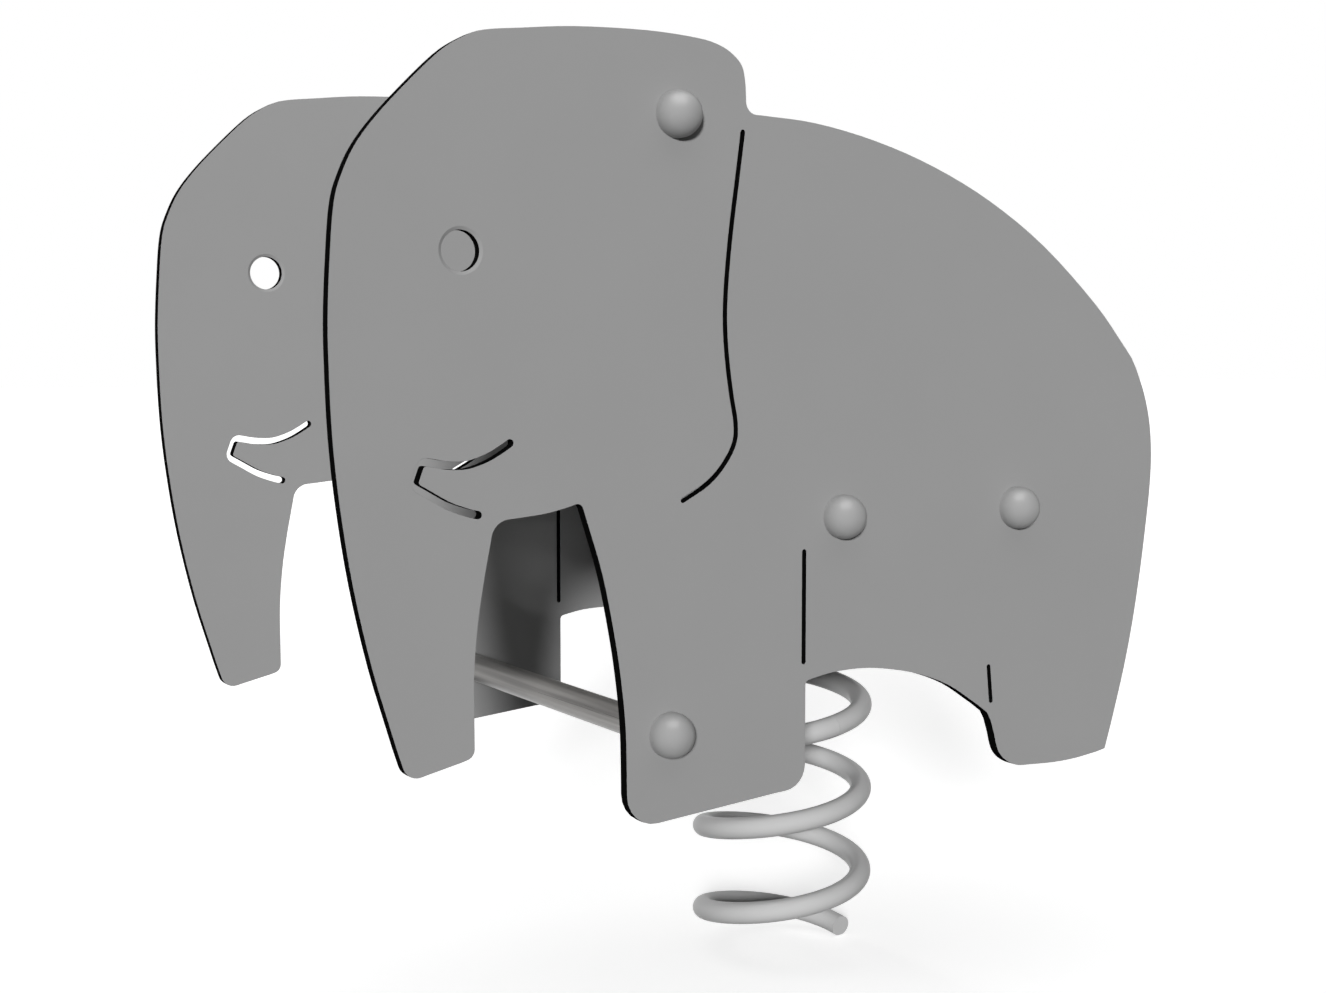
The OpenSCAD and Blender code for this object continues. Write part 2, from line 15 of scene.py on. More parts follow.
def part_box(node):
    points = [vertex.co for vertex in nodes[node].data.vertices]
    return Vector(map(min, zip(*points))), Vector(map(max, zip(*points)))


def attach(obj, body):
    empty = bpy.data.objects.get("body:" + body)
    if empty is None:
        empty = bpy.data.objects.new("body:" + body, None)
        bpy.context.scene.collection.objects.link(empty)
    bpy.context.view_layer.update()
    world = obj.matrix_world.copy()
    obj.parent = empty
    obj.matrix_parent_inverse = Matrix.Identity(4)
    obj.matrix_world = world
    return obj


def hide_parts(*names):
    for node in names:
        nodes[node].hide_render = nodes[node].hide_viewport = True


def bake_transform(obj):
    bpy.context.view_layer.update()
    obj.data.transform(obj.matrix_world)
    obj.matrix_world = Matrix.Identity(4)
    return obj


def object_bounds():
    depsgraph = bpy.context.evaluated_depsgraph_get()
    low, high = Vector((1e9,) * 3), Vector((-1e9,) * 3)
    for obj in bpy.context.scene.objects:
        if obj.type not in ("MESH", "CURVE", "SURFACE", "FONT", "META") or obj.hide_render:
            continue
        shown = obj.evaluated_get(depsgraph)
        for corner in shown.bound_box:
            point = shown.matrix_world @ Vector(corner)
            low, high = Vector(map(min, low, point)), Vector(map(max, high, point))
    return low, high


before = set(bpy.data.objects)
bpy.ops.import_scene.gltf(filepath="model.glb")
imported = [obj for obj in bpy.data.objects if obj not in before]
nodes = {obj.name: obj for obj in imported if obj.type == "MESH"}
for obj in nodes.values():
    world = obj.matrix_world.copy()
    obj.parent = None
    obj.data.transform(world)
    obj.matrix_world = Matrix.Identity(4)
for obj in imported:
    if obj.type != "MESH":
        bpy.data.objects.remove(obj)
cad_box = [list(corner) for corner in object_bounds()]
scene = bpy.context.scene
scene.view_settings.view_transform = "Standard"

# %% [markdown]
# ## Camera
# The photograph was taken from the animal's front left, a little above the height of the seat. Its place
# was worked out from the two panels, which are alike and parallel. A camera can be aimed with a
# constraint or by a rotation; here its three axes are written as a matrix, because the photograph's own
# axes are known.

# %% Camera at the photograph's angle
def placed(name, data):
    """Puts new data into the scene as an object at the origin."""
    thing = bpy.data.objects.new(name, data)
    scene.collection.objects.link(thing)
    return thing


view_forward = Vector((-0.4985, -0.8636, -0.0758)).normalized()
view_right = Vector((-0.866, 0.5, 0.0)).normalized()
view_up = view_right.cross(view_forward)
camera = placed("camera", bpy.data.cameras.new("camera"))
camera.data.lens = 51.15
camera.data.sensor_width = 36.0
camera.matrix_world = Matrix((view_right, view_up, -view_forward)).transposed().to_4x4()
camera.location = (0.986, 1.481, 0.572)
scene.camera = camera
print("camera at", tuple(round(x, 3) for x in camera.location))

# %% [markdown]
# ## Building node trees
# Finishes, the room and the shapes that follow a rule are all made of nodes. Nodes can be placed one by
# one, with a line for each link, but then the wiring hides the idea. One helper adds a node, sets it up
# and wires its inputs, so that each tree reads from its start to its end.

# %% Adding a node
def add_node(tree, kind, inputs=(), **settings):
    """Adds a node and returns its outputs. Each named input takes a plain value or another node's output."""
    made = tree.nodes.new(kind)
    for label, value in settings.items():
        setattr(made, label, value)
    for label, value in dict(inputs).items():
        if isinstance(value, bpy.types.NodeSocket):
            tree.links.new(value, made.inputs[label])
        else:
            made.inputs[label].default_value = value
    return made.outputs


def maths(tree, operation, *values):
    """Adds one Math node and returns its result."""
    return add_node(tree, "ShaderNodeMath", enumerate(values), operation=operation)[0]


def blank_material(name):
    material = bpy.data.materials.new(name)
    material.use_nodes = True
    material.node_tree.nodes.clear()
    return material, material.node_tree


print("node helpers: add_node, maths, blank_material")

# %% [markdown]
# ## Floor and background
# The rider stands on a pale floor in a white room. A floor that is lit to white would need so much light
# that the grey sheet would wash out. Light Path tells the material who is looking: the camera and shiny
# surfaces see a floor that glows almost white by itself, and only its last part comes from the lamps, so
# soft shadows stay. The glow grows to full white with distance, so that no horizon shows. Light that
# bounces up to the rider meets a dark floor, which keeps the undersides deep.

# %% Floor paint
def seen_directly(tree):
    """1 for rays from the camera, a reflection or clear glass, and 0 for the light that bounces about."""
    path = add_node(tree, "ShaderNodeLightPath")
    shown = maths(tree, "MAXIMUM", path["Is Camera Ray"], path["Is Glossy Ray"])
    return maths(tree, "MAXIMUM", shown, path["Is Transmission Ray"])


floor_paint, tree = blank_material("floor_paint")
direct = seen_directly(tree)
bounce_tone, shadow_tone = (0.1, 0.1, 0.1, 1), (0.8, 0.8, 0.8, 1)
near, far = 0.8, 3.5
near_glow, far_glow = 0.57, 1.0
tone = add_node(tree, "ShaderNodeMixRGB", {"Fac": direct, "Color1": bounce_tone, "Color2": shadow_tone})
matt = add_node(tree, "ShaderNodeBsdfDiffuse", {"Color": tone["Color"]})
place = add_node(tree, "ShaderNodeTexCoord")
reach = add_node(tree, "ShaderNodeVectorMath", {0: place["Object"]}, operation="LENGTH")
whiter = add_node(tree, "ShaderNodeMapRange", {
    "Value": reach["Value"], "From Min": near, "From Max": far, "To Min": near_glow, "To Max": far_glow})
glow = add_node(tree, "ShaderNodeEmission", {"Strength": maths(tree, "MULTIPLY", whiter["Result"], direct)})
lit = add_node(tree, "ShaderNodeAddShader", {0: matt[0], 1: glow[0]})
add_node(tree, "ShaderNodeOutputMaterial", {"Surface": lit[0]})
print("floor glows from", near_glow, "near the rider to", far_glow, "at", far, "m")

# %% Floor
floor_half = 30.0
floor_corners = [(x * floor_half, y * floor_half, 0) for x, y in ((-1, -1), (1, -1), (1, 1), (-1, 1))]
floor_mesh = bpy.data.meshes.new("floor")
floor_mesh.from_pydata(floor_corners, [], [(0, 1, 2, 3)])
floor_mesh.materials.append(floor_paint)
floor = placed("floor", floor_mesh)
print("floor", 2 * floor_half, "m wide")

# %% [markdown]
# The room is the world's background. Seen directly it is white, so the floor runs into it. As a light it
# is kept very low, because an even glow from all sides would flatten the shapes.

# %% White room
room_light, room_white = 0.03, 1.0
room = bpy.data.worlds.new("white_room")
scene.world = room
room.use_nodes = True
tree = room.node_tree
tree.nodes.clear()
strength = add_node(tree, "ShaderNodeMapRange", {
    "Value": seen_directly(tree), "To Min": room_light, "To Max": room_white})
sky = add_node(tree, "ShaderNodeBackground", {"Color": (1, 1, 1, 1), "Strength": strength["Result"]})
add_node(tree, "ShaderNodeOutputWorld", {"Surface": sky[0]})
print("room light", room_light)

# %% [markdown]
# ## Lamps
# A wide softbox overhead gives the floor one soft shadow. Lamps near by would light one end of a panel
# more than the other, so front and back are lit by two far lamps, which are suns with a soft edge. The
# front one comes from the camera's left at a low angle, so the trunk's shadow falls on the far panel. Far
# lamps are kept out of reflections, where they would make hot spots. A second softbox shows in
# reflections alone, and draws the domes' highlights.

# %% Softboxes
def aimed(name, kind, power, direction):
    """A lamp that shines along a direction."""
    light = bpy.data.lights.new(name, kind)
    light.energy = power
    lamp = placed(name, light)
    lamp.rotation_mode = "QUATERNION"
    lamp.rotation_quaternion = Vector(direction).to_track_quat("-Z", "Y")
    return lamp


def softbox(name, place, target, width, power):
    """A square lamp, width metres wide, aimed at a point."""
    lamp = aimed(name, "AREA", power, Vector(target) - Vector(place))
    lamp.location = place
    lamp.data.shape = "SQUARE"
    lamp.data.size = width
    return lamp


softbox("top_lamp", place=(0.1, 0.0, 2.9), target=(0.1, 0.0, 0.0), width=4.5, power=44)
high_lamp = softbox("high_lamp", place=(0.45, 0.9, 2.6), target=(0.15, 0.24, 0.45), width=2.0, power=50)
high_lamp.visible_diffuse = False
print("softboxes: top_lamp, high_lamp")

# %% Far lamps
def far_lamp(name, direction, width, power):
    """A lamp so far away that it lights every part alike. width is how wide it looks, in degrees."""
    lamp = aimed(name, "SUN", power, direction)
    lamp.data.angle = math.radians(width)
    lamp.visible_glossy = False


far_lamp("front_lamp", direction=(-0.545, -0.808, -0.225), width=7, power=3.7)
far_lamp("back_lamp", direction=(-0.05, 0.998, -0.04), width=12, power=2.2)

# %% [markdown]
# ## Shared finishes
# No real surface is one flat colour. Two small shader groups serve several materials. Soft mottle lets a
# colour drift a little from place to place, as paint and pressed sheet do. Pebble grain is the fine
# relief of textured laminate, powder coat and moulded plastic. Both read Object coordinates, so the
# pattern stays on the piece when it moves.

# %% Soft mottle
NUMBER, COLOUR, SHAPE = "NodeSocketFloat", "NodeSocketColor", "NodeSocketGeometry"


def new_group(name, kind, inputs, outputs):
    """A node group with named sockets, and its inputs as the nodes inside it see them."""
    group = bpy.data.node_groups.new(name, kind)
    for label, socket in inputs.items():
        group.interface.new_socket(label, in_out="INPUT", socket_type=socket)
    for label, socket in outputs.items():
        group.interface.new_socket(label, in_out="OUTPUT", socket_type=socket)
    return group, add_node(group, "NodeGroupInput")


soft_mottle, given = new_group(
    "soft_mottle", "ShaderNodeTree", {"Colour": COLOUR, "Scale": NUMBER, "Drift": NUMBER}, {"Colour": COLOUR})
noise_middle = 0.5
place = add_node(soft_mottle, "ShaderNodeTexCoord")
cloud = add_node(soft_mottle, "ShaderNodeTexNoise", {
    "Vector": place["Object"], "Scale": given["Scale"], "Detail": 4.0})
shift = maths(soft_mottle, "SUBTRACT", cloud["Fac"], noise_middle)
spread = maths(soft_mottle, "MULTIPLY_ADD", shift, given["Drift"], 1.0)
tint = add_node(soft_mottle, "ShaderNodeVectorMath", {0: given["Colour"], "Scale": spread}, operation="SCALE")
add_node(soft_mottle, "NodeGroupOutput", {"Colour": tint["Vector"]})
print("group", soft_mottle.name, "with", len(soft_mottle.nodes), "nodes")

# %% Pebble grain
pebble_grain, given = new_group(
    "pebble_grain", "ShaderNodeTree", {"Scale": NUMBER, "Smooth": NUMBER, "Rough": NUMBER},
    {"Height": NUMBER, "Roughness": NUMBER})
place = add_node(pebble_grain, "ShaderNodeTexCoord")
grain = add_node(pebble_grain, "ShaderNodeTexNoise", {
    "Vector": place["Object"], "Scale": given["Scale"], "Detail": 3.0})
gloss = add_node(pebble_grain, "ShaderNodeMapRange", {
    "Value": grain["Fac"], "To Min": given["Smooth"], "To Max": given["Rough"]})
add_node(pebble_grain, "NodeGroupOutput", {"Height": grain["Fac"], "Roughness": gloss["Result"]})
print("group", pebble_grain.name, "with", len(pebble_grain.nodes), "nodes")

# %% [markdown]
# ## Sheet finish
# The panels and the seat are cut from compact laminate: a hard grey skin on both sides of a black core,
# so every cut edge and slot shows black. The skin has a fine matt texture. It is far finer than a mesh
# could hold, so it is relief in the shader, made of both groups. Gloss that is the same all over is set
# on the shader itself.

# %% Grey skin and black core
def grained_finish(name, colour, mottle_scale, drift, grain_scale, smooth, rough, relief, shine):
    """A material with drifting colour and fine relief, in metres. shine is for the shader's own sockets."""
    material, tree = blank_material(name)
    mottle = add_node(tree, "ShaderNodeGroup", {
        "Colour": (*colour, 1), "Scale": mottle_scale, "Drift": drift}, node_tree=soft_mottle)
    fine = add_node(tree, "ShaderNodeGroup", {
        "Scale": grain_scale, "Smooth": smooth, "Rough": rough}, node_tree=pebble_grain)
    bump = add_node(tree, "ShaderNodeBump", {"Height": fine["Height"], "Distance": relief})
    shader = add_node(tree, "ShaderNodeBsdfPrincipled", {
        "Base Color": mottle["Colour"], "Roughness": fine["Roughness"], "Normal": bump["Normal"], **shine})
    add_node(tree, "ShaderNodeOutputMaterial", {"Surface": shader[0]})
    print("finish", name)
    return material


sheet_skin = grained_finish(
    "sheet_skin", colour=(0.275, 0.275, 0.275), mottle_scale=9.0, drift=0.06, grain_scale=1500.0,
    smooth=0.5, rough=0.62, relief=0.00006, shine={"Specular IOR Level": 0.12})
sheet_core = grained_finish(
    "sheet_core", colour=(0.004, 0.004, 0.004), mottle_scale=60.0, drift=0.5, grain_scale=900.0,
    smooth=0.5, rough=0.7, relief=0.0001, shine={"Specular IOR Level": 0.0})

# %% [markdown]
# ## Panels and seat
# A piece of sheet could be drawn again from its outline, but the CAD solid already has every slot in
# place, so the piece starts as a copy of it. That mesh is loose triangles, and the copy is merged first.
# A narrow bevel breaks the corners, because no cut sheet has perfectly sharp ones and the bevel is what
# catches light.

# %% A merged copy
weld, flat_within = 0.000005, math.radians(0.5)


def merged_copy(node, name):
    mesh = nodes[node].data.copy()
    shape = bmesh.new()
    shape.from_mesh(mesh)
    bmesh.ops.remove_doubles(shape, verts=shape.verts, dist=weld)
    bmesh.ops.dissolve_limit(shape, angle_limit=flat_within, verts=shape.verts, edges=shape.edges)
    shape.to_mesh(mesh)
    shape.free()
    mesh.materials.clear()
    return placed(name, mesh)


print("points within", weld, "m of each other are merged")

# %% A bevelled copy
crease, corner_from = 24, math.radians(40)
corner_steps = 2


def shade_smooth(mesh, sharp_from):
    """Shades a mesh smooth, apart from edges that turn by more than sharp_from degrees."""
    for face in mesh.polygons:
        face.use_smooth = True
    mesh.set_sharp_from_angle(angle=math.radians(sharp_from))


def applied(piece):
    """Turns the piece with its modifiers into a plain mesh."""
    graph = bpy.context.evaluated_depsgraph_get()
    mesh = bpy.data.meshes.new_from_object(piece.evaluated_get(graph), depsgraph=graph)
    piece.modifiers.clear()
    piece.data = mesh
    return piece


def bevelled_copy(node, name, width):
    piece = merged_copy(node, name)
    shade_smooth(piece.data, crease)
    bevel = piece.modifiers.new("broken corners", "BEVEL")
    bevel.width = width
    bevel.segments = corner_steps
    bevel.limit_method = "ANGLE"
    bevel.angle_limit = corner_from
    bevel.use_clamp_overlap = False
    flat = piece.modifiers.new("flat faces stay flat", "WEIGHTED_NORMAL")
    flat.keep_sharp = True
    return applied(piece)


print("corners of more than", round(math.degrees(corner_from)), "degrees are broken")

# %% [markdown]
# Faces that look along the sheet's thickness get the skin, and the rest show the core. Each finished
# piece rides on the CAD body that moves it and stands for the CAD node, which is then hidden.

# %% Two panels and a seat board
ACROSS, UPWARD = 1, 2
panel_corner, seat_corner = 0.0002, 0.002
square_on = 0.5


def stands_for(piece, node, body):
    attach(piece, body)
    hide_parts(node)
    print(piece.name, len(piece.data.polygons), "faces, on", body)


def sheet_piece(node, name, thickness_axis, corner):
    piece = bevelled_copy(node, name, corner)
    piece.data.materials.append(sheet_skin)
    piece.data.materials.append(sheet_core)
    for face in piece.data.polygons:
        face.material_index = 0 if abs(face.normal[thickness_axis]) > square_on else 1
    stands_for(piece, node, "rider")


sheet_piece("left_panel", "left_side", ACROSS, panel_corner)
sheet_piece("right_panel", "right_side", ACROSS, panel_corner)
sheet_piece("seat_board", "seat", UPWARD, seat_corner)

# %% [markdown]
# ## Spring
# One wire, wound at an even rise and bent level at the top, where the clamps hold it. A screw modifier
# could wind it, but not ease it level. It follows a rule, so Geometry Nodes draw it: a straight line of
# points is bent into the coil by the same formula as the CAD wire, and a circle is swept along it.

# %% Coil measures, in metres and turns
coil = {"Coil radius": 0.075, "Wire radius": 0.010, "Rise": 0.080, "Foot height": 0.0095,
        "Ease start": 5.2275, "Ease turns": 0.15, "First angle": math.radians(185)}
wire_end = 5.8900
lower_end, middle_end = 2.75, 4.0
rings_per_turn, wire_sides = 192, 32
print("turns", wire_end)

# %% Coil tree: a line of points, each with its turn
coil_tree, given = new_group(
    "coil_wire", "GeometryNodeTree",
    {**dict.fromkeys(("First turn", "Last turn", *coil), NUMBER),
     "Rings": "NodeSocketInt", "Sides": "NodeSocketInt", "Paint": "NodeSocketMaterial"}, {"Wire": SHAPE})
line = add_node(coil_tree, "GeometryNodeCurvePrimitiveLine", {"Start": (0, 0, 0), "End": (0, 0, 1)})
points = add_node(coil_tree, "GeometryNodeResampleCurve", {"Curve": line["Curve"], "Count": given["Rings"]})
along = add_node(coil_tree, "GeometryNodeSplineParameter")
turn = add_node(coil_tree, "ShaderNodeMapRange", {
    "Value": along["Factor"], "To Min": given["First turn"], "To Max": given["Last turn"]})["Result"]
print("coil inputs:", [socket.name for socket in given if socket.name])

# %% Coil tree: where each point of the wire lies
angle = maths(coil_tree, "MULTIPLY_ADD", turn, 2 * math.pi, given["First angle"])
x = maths(coil_tree, "MULTIPLY", maths(coil_tree, "COSINE", angle), given["Coil radius"])
y = maths(coil_tree, "MULTIPLY", maths(coil_tree, "SINE", angle), given["Coil radius"])
steady = maths(coil_tree, "MINIMUM", turn, given["Ease start"])
past = maths(coil_tree, "MAXIMUM", maths(coil_tree, "SUBTRACT", turn, given["Ease start"]), 0.0)
eased = maths(coil_tree, "MINIMUM", past, given["Ease turns"])
lost = maths(coil_tree, "DIVIDE", maths(coil_tree, "MULTIPLY", eased, eased),
             maths(coil_tree, "MULTIPLY", given["Ease turns"], 2.0))
risen = maths(coil_tree, "SUBTRACT", maths(coil_tree, "ADD", steady, eased), lost)
z = maths(coil_tree, "MULTIPLY_ADD", risen, given["Rise"], given["Foot height"])
spot = add_node(coil_tree, "ShaderNodeCombineXYZ", {"X": x, "Y": y, "Z": z})
wound = add_node(coil_tree, "GeometryNodeSetPosition", {
    "Geometry": points["Curve"], "Position": spot["Vector"]})
upright = add_node(coil_tree, "GeometryNodeSetCurveNormal", {"Curve": wound["Geometry"]}, mode="Z_UP")
print("coil path:", len(coil_tree.nodes), "nodes")

# %% Coil tree: the wire swept along it, flat where it stands
ring = add_node(coil_tree, "GeometryNodeCurvePrimitiveCircle", {
    "Resolution": given["Sides"], "Radius": given["Wire radius"]})
sweep = add_node(coil_tree, "GeometryNodeCurveToMesh", {
    "Curve": upright["Curve"], "Profile Curve": ring["Curve"], "Fill Caps": True})
skin_at = add_node(coil_tree, "ShaderNodeSeparateXYZ", {
    "Vector": add_node(coil_tree, "GeometryNodeInputPosition")["Position"]})
ground = maths(coil_tree, "MAXIMUM", skin_at["Z"], cad_box[0][2])
standing = add_node(coil_tree, "ShaderNodeCombineXYZ", {"X": skin_at["X"], "Y": skin_at["Y"], "Z": ground})
stood = add_node(coil_tree, "GeometryNodeSetPosition", {
    "Geometry": sweep["Mesh"], "Position": standing["Vector"]})
whole = add_node(coil_tree, "GeometryNodeRealizeInstances", {"Geometry": stood["Geometry"]})
painted = add_node(coil_tree, "GeometryNodeSetMaterial", {
    "Geometry": whole["Geometry"], "Material": given["Paint"]})
add_node(coil_tree, "NodeGroupOutput", {"Wire": painted["Geometry"]})
print("coil tree:", len(coil_tree.nodes), "nodes")

# %% [markdown]
# The wire is light grey powder coat: a satin skin with the faint waviness of orange peel. Most of its
# light is dull, so the inner sides of the coils stay dark, and a thin clear coat in the shader gives the
# highlight along them.

# %% Powder coat
powder_coat = grained_finish(
    "powder_coat", colour=(0.465, 0.465, 0.465), mottle_scale=18.0, drift=0.06, grain_scale=420.0,
    smooth=0.28, rough=0.38, relief=0.00004,
    shine={"Specular IOR Level": 0.05, "Coat Weight": 0.15, "Coat Roughness": 0.06})

# %% [markdown]
# The wire is made in three lengths that meet face to face, one for each coil piece of the frame. The tree
# is a modifier until its inputs are set, and then the result becomes a plain mesh.

# %% Three lengths of wire
wire_sharp_from = 40


def grown(name, start, tree, inputs):
    """A piece made from a starting mesh by a Geometry Nodes tree, whose inputs are set by identifier."""
    piece = placed(name, start)
    maker = piece.modifiers.new("made by nodes", "NODES")
    maker.node_group = tree
    for socket in tree.interface.items_tree:
        if socket.in_out == "INPUT" and socket.name in inputs:
            maker[socket.identifier] = inputs[socket.name]
    return applied(piece)


def wire_length(name, first, last):
    rings = math.ceil((last - first) * rings_per_turn) + 1
    piece = grown(name, bpy.data.meshes.new(name), coil_tree, {
        **coil, "First turn": first, "Last turn": last, "Rings": rings, "Sides": wire_sides,
        "Paint": powder_coat})
    shade_smooth(piece.data, wire_sharp_from)
    print(name, len(piece.data.vertices), "points")
    return piece


lower_wire = wire_length("lower_wire", 0.0, lower_end)
middle_wire = wire_length("middle_wire", lower_end, middle_end)
upper_wire = wire_length("upper_wire", middle_end, wire_end)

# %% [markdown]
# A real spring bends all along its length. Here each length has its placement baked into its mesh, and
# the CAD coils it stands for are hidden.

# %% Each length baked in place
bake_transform(lower_wire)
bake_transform(middle_wire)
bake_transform(upper_wire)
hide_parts("spring_lower_coils")
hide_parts("spring_middle_coils")
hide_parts("spring_upper_coils")

# %% [markdown]
# ## Bolt caps
# Each panel bolt is hidden under a domed plastic cap. A cap could be cut from a sphere, but a moulded one
# has a wall and a rounded foot, so one cap is turned from a profile, as on a lathe. Geometry Nodes then
# set a copy on each bolt.

# %% Turning a profile
turned_sharp_from = 35
on_axis = 1e-6


def turned(name, profile, sides):
    """A closed solid turned about Z. Its outline starts and ends on the axis, or goes round a wall."""
    shape = bmesh.new()
    angles = [2 * math.pi * i / sides for i in range(sides)]
    rings = []
    for radius, height in profile:
        spots = [(radius * math.cos(a), radius * math.sin(a), height) for a in angles]
        rings.append([shape.verts.new(at) for at in (spots if radius > on_axis else [(0, 0, height)])])
    round_a_wall = len(rings[0]) > 1
    for a, b in zip(rings, rings[1:] + (rings[:1] if round_a_wall else [])):
        for i in range(sides):
            j = (i + 1) % sides
            corners = [a[i % len(a)], a[j % len(a)], b[j % len(b)], b[i % len(b)]]
            shape.faces.new(list(dict.fromkeys(corners)))
    bmesh.ops.recalc_face_normals(shape, faces=shape.faces)
    mesh = bpy.data.meshes.new(name)
    shape.to_mesh(mesh)
    shape.free()
    shade_smooth(mesh, turned_sharp_from)
    print("turned", name, len(mesh.polygons), "faces")
    return mesh


print("turned edges stay sharp from", turned_sharp_from, "degrees")

# %% One cap
cap_radius, cap_height, cap_wall, foot_round = 0.01825, 0.022, 0.002, 0.0004
skirt = cap_height - cap_radius
dome_steps, cap_sides = 20, 64


def dome_profile(radius):
    """From the top of the skirt over the dome to the axis."""
    angles = [math.pi / 2 * i / dome_steps for i in range(dome_steps)]
    return [(radius * math.cos(a), skirt + radius * math.sin(a)) for a in angles] + [(0, skirt + radius)]


outside = [(cap_radius - foot_round, 0.0), (cap_radius, foot_round)] + dome_profile(cap_radius)
inside = [(cap_radius - cap_wall, 0.0)] + dome_profile(cap_radius - cap_wall)
cap_model = placed("bolt_cap", turned("bolt_cap", inside[::-1] + outside, cap_sides))

# %% Caps on their bolts
cap_tree, given = new_group(
    "caps_on_bolts", "GeometryNodeTree",
    {"Bolts": SHAPE, "Cap": "NodeSocketObject", "Turn": "NodeSocketVector", "Plastic": "NodeSocketMaterial"},
    {"Caps": SHAPE})
model = add_node(cap_tree, "GeometryNodeObjectInfo", {"Object": given["Cap"]})
set_on = add_node(cap_tree, "GeometryNodeInstanceOnPoints", {
    "Points": given["Bolts"], "Instance": model["Geometry"], "Rotation": given["Turn"]})
whole = add_node(cap_tree, "GeometryNodeRealizeInstances", {"Geometry": set_on["Instances"]})
coloured = add_node(cap_tree, "GeometryNodeSetMaterial", {
    "Geometry": whole["Geometry"], "Material": given["Plastic"]})
add_node(cap_tree, "NodeGroupOutput", {"Caps": coloured["Geometry"]})
print("cap tree:", len(cap_tree.nodes), "nodes")

# %% [markdown]
# The caps are moulded in a satin grey plastic, a touch lighter than the sheet, with a very fine grain.
# They sit on the outsides of both panels, on the same four bolts, and the cap that served as the model is
# then deleted.

# %% Cap plastic and the eight caps
cap_plastic = grained_finish(
    "cap_plastic", colour=(0.29, 0.29, 0.29), mottle_scale=40.0, drift=0.05, grain_scale=1800.0,
    smooth=0.34, rough=0.44, relief=0.00004, shine={"Specular IOR Level": 0.35})
handle_spot, footrest_spot = (0.249, 0.754), (0.255, 0.275)
bolt_spots = [handle_spot, footrest_spot, (0.092, 0.439), (-0.092, 0.439)]
panel_outside = 0.225


def caps_of(name, side, node):
    bolts = bpy.data.meshes.new(name)
    bolts.from_pydata([(x, side * panel_outside, z) for x, z in bolt_spots], [], [])
    outwards = (-side * math.pi / 2, 0.0, 0.0)
    piece = grown(name, bolts, cap_tree, {"Cap": cap_model, "Turn": outwards, "Plastic": cap_plastic})
    stands_for(piece, node, "rider")


caps_of("left_caps", 1, "left_bolt_caps")
caps_of("right_caps", -1, "right_bolt_caps")
bpy.data.objects.remove(cap_model)

# %% [markdown]
# ## Tubes
# Handle and footrest are lengths of bare steel tube, ground along their length. The grinding shows as
# fine streaks, which come from noise that is stretched along the tube. The lines are in tone, gloss and
# relief together, because a scratch changes all three. The noise is also shifted so that a light streak
# falls along the upper side of the footrest, which is a painted highlight.

# %% Ground steel
ground_steel, tree = blank_material("ground_steel")
dark_line, light_line_and_highlight = (0.15375, 0.1485, 0.1425, 1), (0.27675, 0.2673, 0.2565, 1)
place = add_node(tree, "ShaderNodeTexCoord")
# Location shifts the streaks so that a light one lies along the footrest's upper side: a painted highlight
# among the grinding streaks.
pull = add_node(tree, "ShaderNodeMapping", {
    "Vector": place["Object"], "Location": (1.7, 9.0, 8.3), "Scale": (170, 2.5, 170)})
streak = add_node(tree, "ShaderNodeTexNoise", {"Vector": pull["Vector"], "Scale": 1.0, "Detail": 5.0})
lines = add_node(tree, "ShaderNodeMapRange", {"Value": streak["Fac"], "From Min": 0.35, "From Max": 0.65})
tone = add_node(tree, "ShaderNodeMixRGB", {
    "Fac": lines["Result"], "Color1": dark_line, "Color2": light_line_and_highlight})
gloss = add_node(tree, "ShaderNodeMapRange", {"Value": streak["Fac"], "To Min": 0.24, "To Max": 0.34})
bump = add_node(tree, "ShaderNodeBump", {"Height": streak["Fac"], "Distance": 0.00003})
shader = add_node(tree, "ShaderNodeBsdfPrincipled", {
    "Base Color": tone["Color"], "Metallic": 0.5, "Roughness": gloss["Result"], "Normal": bump["Normal"]})
add_node(tree, "ShaderNodeOutputMaterial", {"Surface": shader[0]})
print("finish", ground_steel.name)

# %% [markdown]
# A tube could be a curve with a round bevel, but its ends are cut square with a small chamfer and show
# its wall. So it is turned from the outline of that wall and laid across. Its length and radius come from
# the CAD tube's box.

# %% Handle and footrest
tube_wall, chamfer, tube_sides = 0.0025, 0.0005, 72


def cross_tube(name, node, spot):
    low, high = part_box(node)
    radius, half = (high.x - low.x) / 2, (high.y - low.y) / 2
    bore = radius - tube_wall
    wall = [(bore, -half), (radius - chamfer, -half), (radius, -half + chamfer),
            (radius, half - chamfer), (radius - chamfer, half), (bore, half)]
    mesh = turned(name, wall, tube_sides)
    mesh.transform(Matrix.Translation((spot[0], 0, spot[1])) @ Matrix.Rotation(math.pi / 2, 4, "X"))
    mesh.materials.append(ground_steel)
    stands_for(placed(name, mesh), node, "rider")


cross_tube("handle", "handle_tube", handle_spot)
cross_tube("footrest", "footrest_tube", footrest_spot)

# %% [markdown]
# ## Saddle, plate and fasteners
# Under the seat everything is zinc coated steel: the folded saddle, the plate and clamps that hold the
# spring, and the bolts. Zinc coating has a faint crystal pattern with patches of different dullness.
# Noise would give clouds, so a cell pattern drives its tone and its roughness instead.

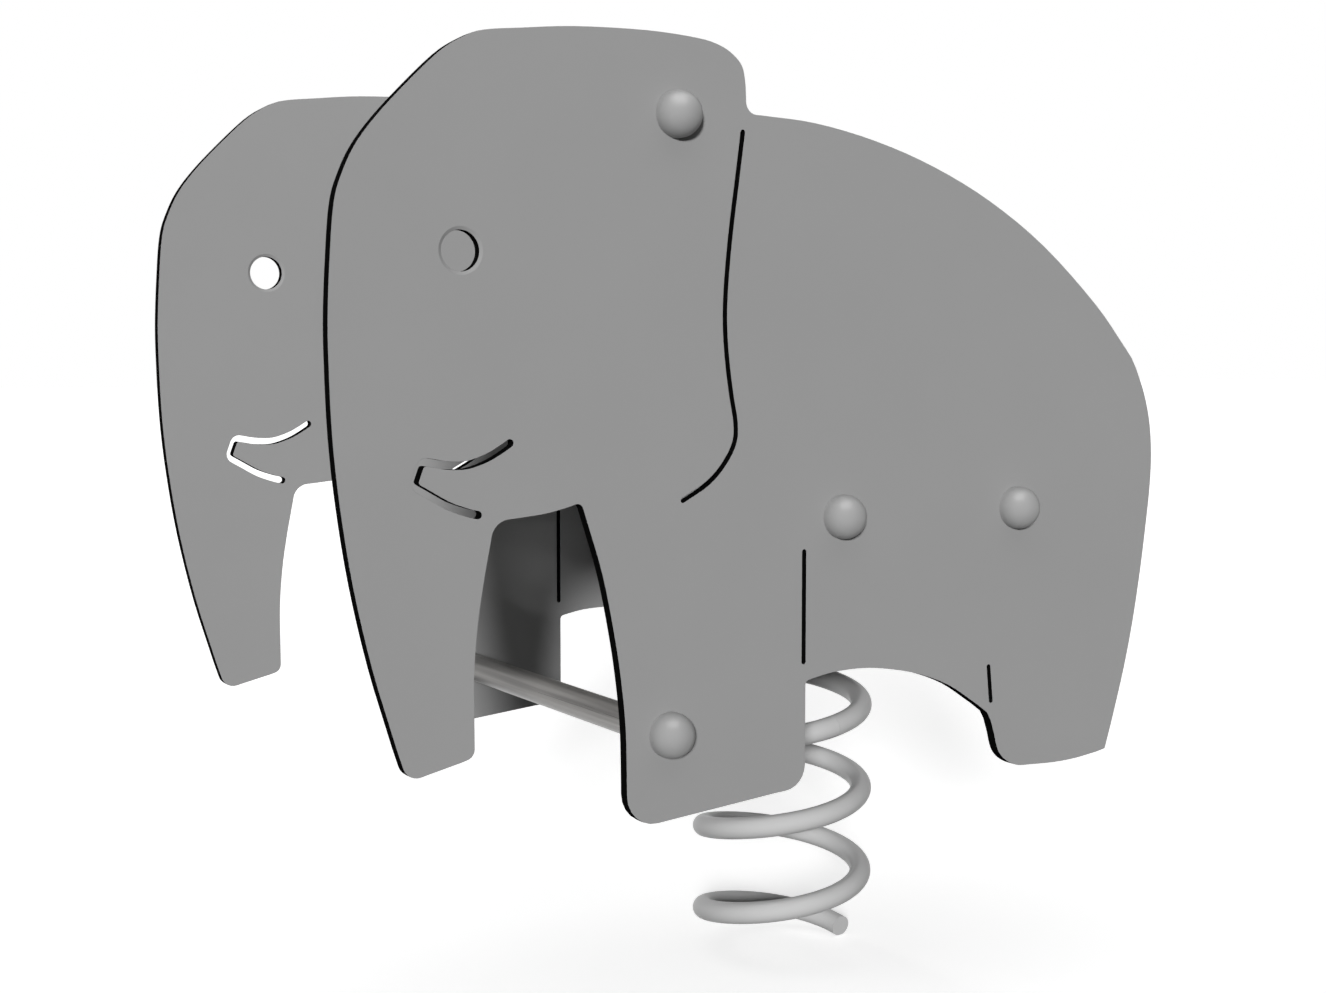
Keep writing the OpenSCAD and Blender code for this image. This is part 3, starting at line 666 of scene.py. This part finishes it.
# %% Zinc coat
zinc_coat, tree = blank_material("zinc_coat")
dark_zinc, light_zinc = (0.37, 0.375, 0.38, 1), (0.45, 0.455, 0.465, 1)
place = add_node(tree, "ShaderNodeTexCoord")
crystal = add_node(tree, "ShaderNodeTexVoronoi", {"Vector": place["Object"], "Scale": 130.0})
patch = add_node(tree, "ShaderNodeSeparateColor", {0: crystal["Color"]})
tone = add_node(tree, "ShaderNodeMixRGB", {"Fac": patch[0], "Color1": dark_zinc, "Color2": light_zinc})
dull = add_node(tree, "ShaderNodeMapRange", {"Value": patch[1], "To Min": 0.34, "To Max": 0.56})
fine = add_node(tree, "ShaderNodeGroup", {"Scale": 700.0}, node_tree=pebble_grain)
bump = add_node(tree, "ShaderNodeBump", {"Height": fine["Height"], "Distance": 0.00004})
shader = add_node(tree, "ShaderNodeBsdfPrincipled", {
    "Base Color": tone["Color"], "Metallic": 0.85, "Roughness": dull["Result"], "Normal": bump["Normal"]})
add_node(tree, "ShaderNodeOutputMaterial", {"Surface": shader[0]})
print("finish", zinc_coat.name)

# %% [markdown]
# The pieces that can be seen from below or behind keep their CAD shape with broken corners, wide on
# folded and sawn steel and narrow on nuts and washers. Bolts, screws and bases that lie inside or flush
# show no corners. Their CAD nodes stay as they are and only get a finish.

# %% Steelwork with broken corners
steelwork = (("saddle", "folded_saddle", 0.0015), ("spring_plate", "head_plate", 0.001),
             ("spring_clamps", "wire_clamps", 0.0015), ("clamp_bolts", "clamp_bolt_set", 0.0006),
             ("saddle_nuts", "saddle_nut_set", 0.0006), ("seat_nuts", "seat_nut_set", 0.0005),
             ("saddle_washers", "washer_set", 0.0003))
for node, name, corner in steelwork:
    piece = bevelled_copy(node, name, corner)
    piece.data.materials.append(zinc_coat)
    stands_for(piece, node, "rider")

# %% Inner pieces keep their CAD shape
def finished(finish, *inner_nodes):
    for node in inner_nodes:
        nodes[node].data.materials.clear()
        nodes[node].data.materials.append(finish)
    print(finish.name, "on", len(inner_nodes), "inner pieces")


finished(zinc_coat, "handle_inserts", "footrest_inserts", "handle_bolts", "footrest_bolts", "saddle_bolts",
         "seat_bolts", "plate_screws")
finished(cap_plastic, "left_cap_bases", "right_cap_bases")
